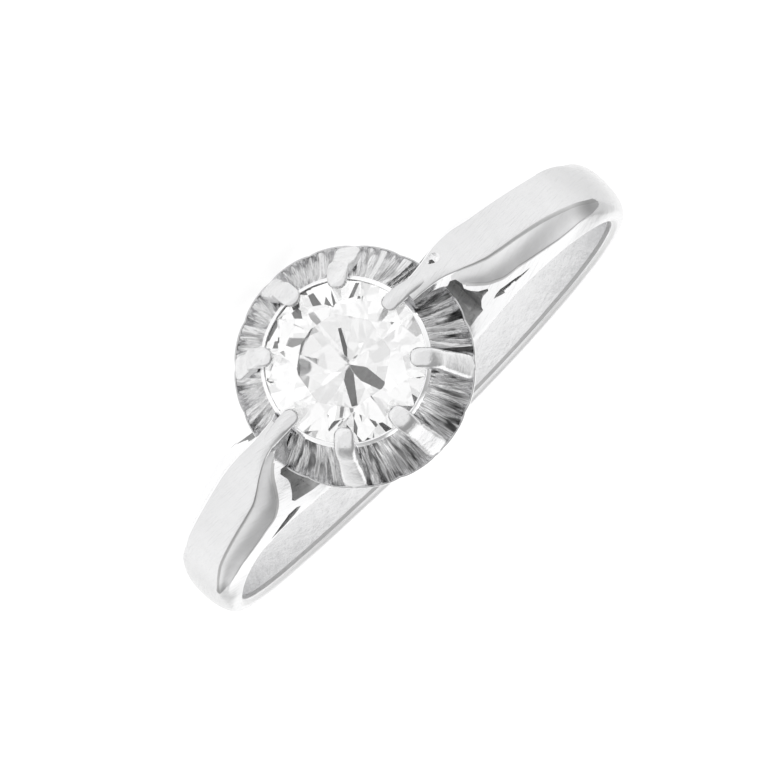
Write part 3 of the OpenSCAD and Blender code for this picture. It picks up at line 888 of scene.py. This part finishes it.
def stone_piece():
    """Round brilliant whose kites, stars and halves are plane facets."""
    planes = []
    kite_shade = {}
    step, half_step, quarter_step = 45, 22.5, 11.25

    def facet(azimuth, elevation, point):
        e = math.radians(elevation)
        n = polar(math.cos(e), azimuth, math.sin(e))
        planes.append((n, float(n @ point)))

    chord, half = math.cos(math.radians(half_step)), math.cos(math.radians(quarter_step))
    table_r = STONE_R * TABLE_SHARE
    star_r = table_r + (STONE_R - table_r) * STAR_SHARE
    lower_r = STONE_R * (1 - LOWER_SHARE)
    top = GIRDLE_T + (STONE_R - table_r) * math.tan(math.radians(CROWN_DEG))
    tip = GIRDLE_T + (STONE_R - star_r * chord) * math.tan(math.radians(CROWN_DEG))
    low = (STONE_R - lower_r * chord) * math.tan(math.radians(PAVILION_DEG))
    star_deg = math.degrees(math.atan((top - tip) / (star_r - table_r * chord)))
    upper_deg = math.degrees(math.atan((tip - GIRDLE_T) / ((STONE_R - star_r) * half)))
    lower_deg = math.degrees(math.atan(low / ((STONE_R - lower_r) * half)))
    facet(0, 90, np.array([0, 0, top]))
    for k in range(8):
        a = STONE_TURN + step * k
        if k in KITE_SHADE:
            kite_shade[len(planes) + 1] = (polar(1, a), KITE_SHADE[k] * STONE_R)
        facet(a, 90 - CROWN_DEG - CUT_ERRORS["kite"][k], polar(STONE_R, a, GIRDLE_T))
        facet(a, PAVILION_DEG + CUT_ERRORS["main"][k] - 90, polar(STONE_R, a))
        between = a + half_step
        facet(between, 90 - star_deg - CUT_ERRORS["star"][k], polar(table_r * chord, between, top))
        for i, side in enumerate((-1, 1)):
            c = a + side * quarter_step
            facet(c, 90 - upper_deg - CUT_ERRORS["upper"][2 * k + i], polar(STONE_R, a, GIRDLE_T))
            facet(c, lower_deg + CUT_ERRORS["lower"][2 * k + i] - 90, polar(STONE_R, a))
    for k in range(GIRDLE_FACETS):
        a = STONE_TURN + (k + 0.5) * 360 / GIRDLE_FACETS
        facet(a, 0, polar(0.999 * STONE_R, a))
    return planes_to_mesh("brilliant", planes, kite_shade, STONE_SHIFT + [0, 0, GIRDLE_Z])


def planes_to_mesh(name, planes, kite_shade, lift):
    """The convex body inside a set of planes: its corners lie where three planes meet.

    For some planes, the third argument gives the direction and distance where a film of painted
    shade behind them ends. Such a facet is split there, and a second face lies just behind its inner part.
    """
    normals = np.array([p[0] for p in planes])
    depths = np.array([p[1] for p in planes])
    trios = np.array(list(itertools.combinations(range(len(planes)), 3)))
    system = normals[trios]
    solvable = abs(np.linalg.det(system)) > 1e-4
    corners = np.linalg.solve(system[solvable], depths[trios[solvable]][..., None])[..., 0]
    corners = corners[(corners @ normals.T <= depths + 1e-6).all(1)]
    points = []
    for c in corners:
        if not points or np.min(np.linalg.norm(np.array(points) - c, axis=1)) > 1e-4:
            points.append(c)
    faces, slots = [], []
    for index, (n, d) in enumerate(planes):
        known = np.array(points)
        on = np.where(abs(known @ n - d) < 1e-4)[0]
        if len(on) < 3:
            continue
        u = np.cross(n, [0.3, 0.5, 0.8])
        v = np.cross(n, u)
        flat = known[on] - known[on].mean(0)
        loop = on[np.argsort(np.arctan2(flat @ v, flat @ u))].tolist()
        if index not in kite_shade:
            faces.append(loop)
            slots.append(0)
            continue
        ahead, reach = kite_shade[index]
        inner, outer = [], []
        for i, j in zip(loop, loop[1:] + loop[:1]):
            a, b = points[i] @ ahead - reach, points[j] @ ahead - reach
            (inner if a < 0 else outer).append(i)
            if (a < 0) != (b < 0):
                points.append(points[i] + (points[j] - points[i]) * a / (a - b))
                inner.append(len(points) - 1)
                outer.append(len(points) - 1)
        backing = [len(points) + i for i in range(len(inner))]
        points.extend([points[i] + KITE_SHADE_GAP * n for i in inner])
        for slot, polygon in enumerate((outer, inner, backing)):
            if len(polygon) > 2:
                faces.append(polygon)
                slots.append(slot)
    coats = [diamond, kite_shade_diamond, kite_shade_film]
    return mesh_piece(name, np.array(points) + lift, faces, coats, slots, smooth=False)


# The pieces, and how they ride on the part.
shank = shank_piece()
plate = plate_piece()
cup = cup_piece()
claws = [claw_piece(k, *place) for k, place in enumerate(CLAW_PLACES)]
stone = stone_piece()
for piece in [shank, plate, cup, *claws]:
    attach(piece, "root")
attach(stone, "root")
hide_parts("ring_mount")
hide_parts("stone")

# Floor, light and camera.
FLOOR = 3.0
FLOOR_GREY, FLOOR_GLOW = 0.14, 0.86
floor_data = bpy.data.meshes.new("floor")
corners = [(x * FLOOR, y * FLOOR, 0) for x, y in ((-1, -1), (1, -1), (1, 1), (-1, 1))]
floor_data.from_pydata(corners, [], [(0, 1, 2, 3)])
floor = bpy.data.objects.new("floor", floor_data)
bpy.context.scene.collection.objects.link(floor)
floor_mat, _, floor_bsdf = material("pale_floor", (FLOOR_GREY,) * 3, metallic=0, roughness=0.6)
floor_bsdf.inputs["Emission Color"].default_value = (1, 1, 1, 1)
floor_bsdf.inputs["Emission Strength"].default_value = FLOOR_GLOW
floor_data.materials.append(floor_mat)

scene = bpy.context.scene
scene.view_settings.view_transform = "Standard"
scene.cycles.max_bounces = 24
scene.cycles.transmission_bounces = 20
scene.cycles.glossy_bounces = 12
scene.cycles.caustics_reflective = True
studio = bpy.data.worlds.new("studio")
scene.world = studio
studio.use_nodes = True


# Strength of the tent, its share left overhead, and the heights between which it dims.
TENT, DIM, OVERHEAD = 1.0, 0.42, (0.10, 0.72)
# Behind the camera it stays bright overhead: components along y between which that changes.
BEHIND = (-0.45, -0.05)
# Bright strip: strength, half width, start and top, as components of the direction.
STRIP, STRIP_HALF, STRIP_START, STRIP_TOP = 1.30, (0.20, 0.34), (0.1, 0.4), (0.62, 0.80)
# Dark opening: direction in the ring's frame, angles where its edge ends and starts, and level.
OPENING, OPENING_DEG, OPENING_LEVEL = (0.0402, -0.135, 0.990), (3.2, 1.8), 0.60


def studio_light():
    """A light tent: bright round the horizon, brighter straight behind the ring, dim overhead."""
    t = studio.node_tree
    background = t.nodes["Background"]
    background.inputs["Color"].default_value = (1, 1, 1, 1)
    where = t.nodes.new("ShaderNodeTexCoord")
    xyz = t.nodes.new("ShaderNodeSeparateXYZ")
    t.links.new(where.outputs["Generated"], xyz.inputs[0])
    x, y, z = (xyz.outputs[name] for name in "XYZ")
    dimming = combine(t, "MULTIPLY", ramp(t, z, *OVERHEAD, 0.0, 1.0 - DIM), ramp(t, y, *BEHIND, 0.0, 1.0))
    tent = combine(t, "MULTIPLY", combine(t, "SUBTRACT", 1.0, dimming), TENT)
    wide = combine(t, "ABSOLUTE", x)
    strip = combine(t, "MULTIPLY", ramp(t, wide, *STRIP_HALF, 1.0, 0.0), ramp(t, y, *STRIP_START, 0.0, 1.0))
    strip = combine(t, "MULTIPLY", strip, ramp(t, z, *STRIP_TOP, 1.0, 0.0))
    around = combine(t, "MULTIPLY", tent, combine(t, "SUBTRACT", 1.0, strip))
    level = combine(t, "ADD", around, combine(t, "MULTIPLY", strip, STRIP))
    facing = t.nodes.new("ShaderNodeVectorMath")
    facing.operation = "DOT_PRODUCT"
    opening = np.array([OPENING[0], 0, 0]) + OPENING[1] * FINGER_AXIS + OPENING[2] * HEAD_AXIS
    facing.inputs[1].default_value = tuple(opening)
    t.links.new(where.outputs["Generated"], facing.inputs[0])
    edge = [math.cos(math.radians(v)) for v in OPENING_DEG]
    dark = ramp(t, facing.outputs["Value"], *edge, 1.0, OPENING_LEVEL)
    t.links.new(combine(t, "MULTIPLY", level, dark), background.inputs["Strength"])


studio_light()

sun = bpy.data.lights.new("soft_overhead", "SUN")
sun.energy = 2.2
sun.angle = math.radians(110)
sun_object = bpy.data.objects.new("soft_overhead", sun)
sun_object.visible_glossy = False
sun_object.visible_transmission = False
bpy.context.scene.collection.objects.link(sun_object)

# Camera in the ring's frame: distance in mm, angles in degrees from the head axis, and the
# point that it aims at, in mm to its right and up.
CAMERA_DISTANCE = 250.0
CAMERA_AZIMUTH, CAMERA_ELEVATION, CAMERA_ROLL = -2.327, 7.758, 135.0515
AIM = (-0.147, -0.069)
# Focal length and width of the photograph, in its pixels.
FOCAL_PIXELS = 7810.5
FRAME_PIXELS = 782
SENSOR_MM = 36


def place_camera():
    """A long lens at the photograph's angle to the ring."""
    azimuth, elevation, roll = np.radians((CAMERA_AZIMUTH, CAMERA_ELEVATION, CAMERA_ROLL))
    level = math.cos(elevation)
    toward = np.array([math.sin(azimuth) * level, math.sin(elevation), math.cos(azimuth) * level])
    right = np.cross([0, 1, 0], toward)
    right /= np.linalg.norm(right)
    up = np.cross(toward, right)
    c, s = math.cos(roll), math.sin(roll)
    right, up = c * right + s * up, c * up - s * right
    spot = AIM[0] * right + AIM[1] * up + CAMERA_DISTANCE * toward
    origin = world(np.zeros((1, 3)))[0]
    axes = [(world(np.array([v]))[0] - origin) / MM for v in (right, up, toward)]
    place = world(np.array([spot]))[0]
    rows = [[*(float(a[i]) for a in axes), float(place[i])] for i in range(3)]
    data = bpy.data.cameras.new("camera")
    data.sensor_width = SENSOR_MM
    data.lens = FOCAL_PIXELS / FRAME_PIXELS * data.sensor_width
    data.clip_start = 0.001
    o = bpy.data.objects.new("camera", data)
    o.matrix_world = Matrix(rows + [[0, 0, 0, 1]])
    bpy.context.scene.collection.objects.link(o)
    bpy.context.scene.camera = o


place_camera()
